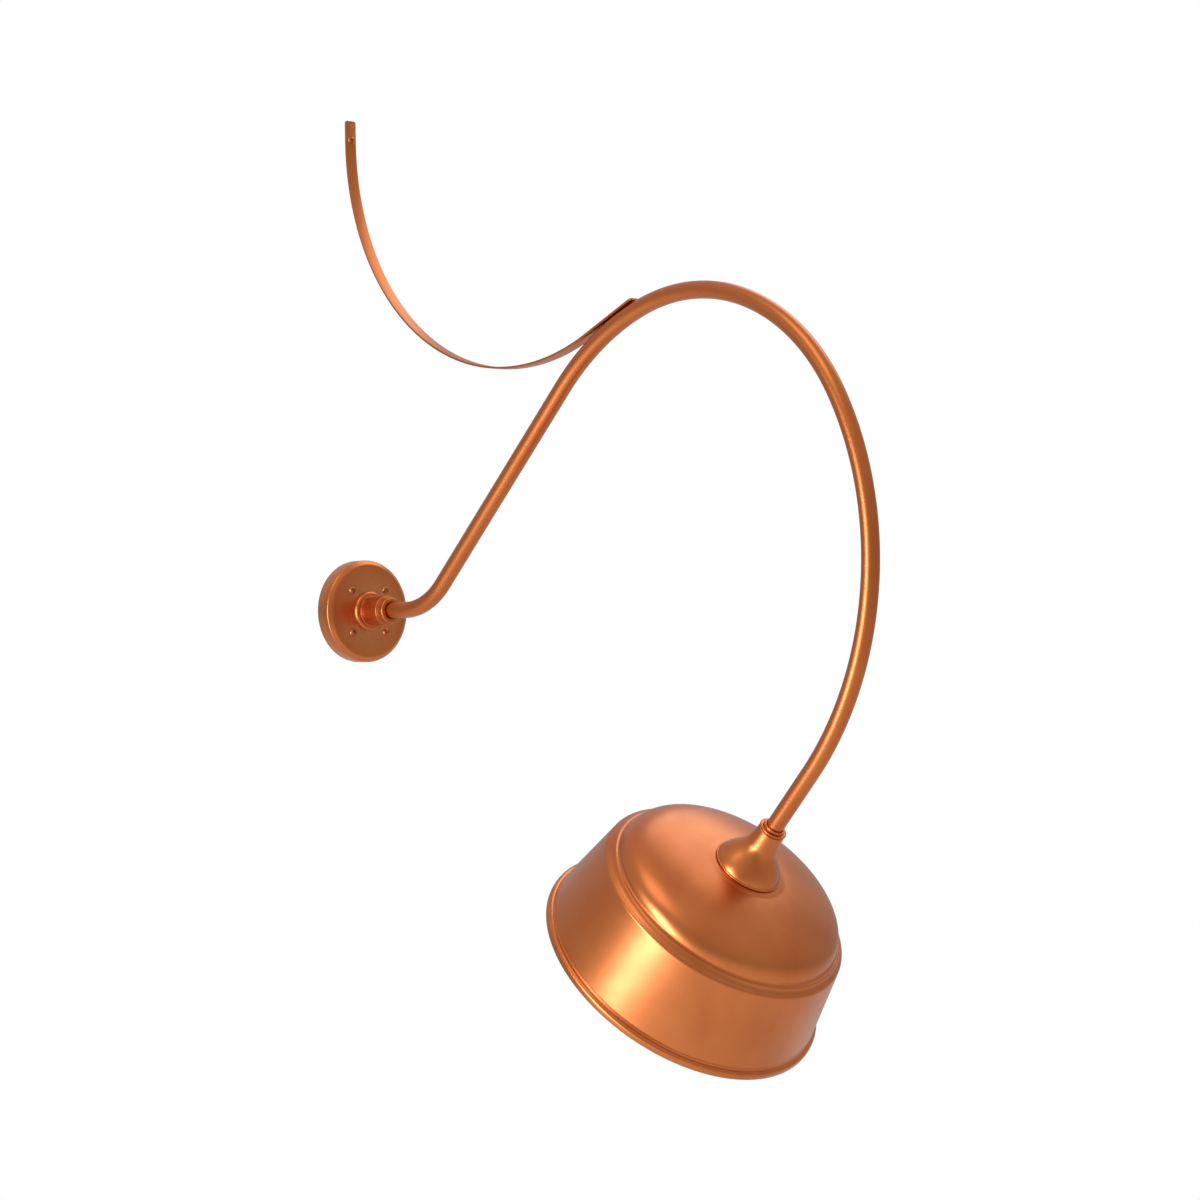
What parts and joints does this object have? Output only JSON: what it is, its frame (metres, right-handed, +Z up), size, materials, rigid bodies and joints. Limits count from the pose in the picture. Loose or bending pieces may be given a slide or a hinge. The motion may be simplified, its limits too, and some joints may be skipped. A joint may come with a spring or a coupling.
{
  "type": "barn light",
  "caption": "Gooseneck barn light for a wall: bent copper tube arm with a brace strap, round canopy and a spun dome shade over a screw-in bulb.",
  "frame": {"origin": "on the wall plane, at the centre of the canopy and of the wall box slots", "axes": "+X out of the wall, +Y to the right when facing the wall, +Z up"},
  "size_m": [0.9278, 0.3608, 1.216],
  "materials": {
    "spun_copper": "brushed",
    "cast_copper": "satin",
    "copper_screws": "satin",
    "zinc_steel": "satin",
    "green_steel": "satin",
    "black_seal": "matte",
    "porcelain": "gloss",
    "brass": "polished",
    "black_sheath": "matte",
    "white_sheath": "matte",
    "green_sheath": "matte",
    "connector_plastic": "matte",
    "solder": "satin",
    "black_glass": "gloss",
    "clear_glass": "clear",
    "stem_glass": "clear",
    "filament": "satin"
  },
  "bodies": {
    "wall_lamp": {"mounting_plate": "zinc_steel", "standoff_posts": "zinc_steel", "canopy_gasket": "black_seal", "canopy": "spun_copper", "canopy_screws": "copper_screws", "ground_screw": "green_steel", "hub": "cast_copper", "hub_locknut": "zinc_steel", "gooseneck_arm": "spun_copper", "brace_strap": "spun_copper", "strap_wall_screw": "copper_screws", "strap_arm_screw": "copper_screws", "neck_lock_ring": "cast_copper", "neck_bell": "cast_copper", "fitter_gasket": "black_seal", "shade": "spun_copper", "backing_ring": "zinc_steel", "shade_screws": "zinc_steel", "bond_screw": "green_steel", "lampholder": "porcelain", "lampholder_screws": "zinc_steel", "terminal_screws": "brass", "screw_shell": "brass", "centre_contact": "brass", "line_wire": "black_sheath", "neutral_wire": "white_sheath", "ground_wire": "green_sheath", "wire_connectors": "connector_plastic"},
    "bulb_contacts": {"bulb_contact": "solder", "bulb_insulator": "black_glass"},
    "bulb": {"bulb_base": "brass", "bulb_glass": "clear_glass", "bulb_stem": "stem_glass", "bulb_filaments": "filament"}
  },
  "joints": [
    {"name": "bulb_travel", "type": "slide", "parent": "wall_lamp", "child": "bulb_contacts", "axis": [-0.6756, 0, -0.7373], "range_m": [0, 0.01815]},
    {"name": "bulb_turn", "type": "hinge", "parent": "bulb_contacts", "child": "bulb", "pos_m": [0.76324, 0, -0.26399], "axis": [-0.6756, 0, -0.7373], "range_deg": [0, 1800]}
  ],
  "couplings": [
    {"joint": "bulb_turn", "follows": "bulb_travel", "rad_per_m": 1730.9}
  ]
}
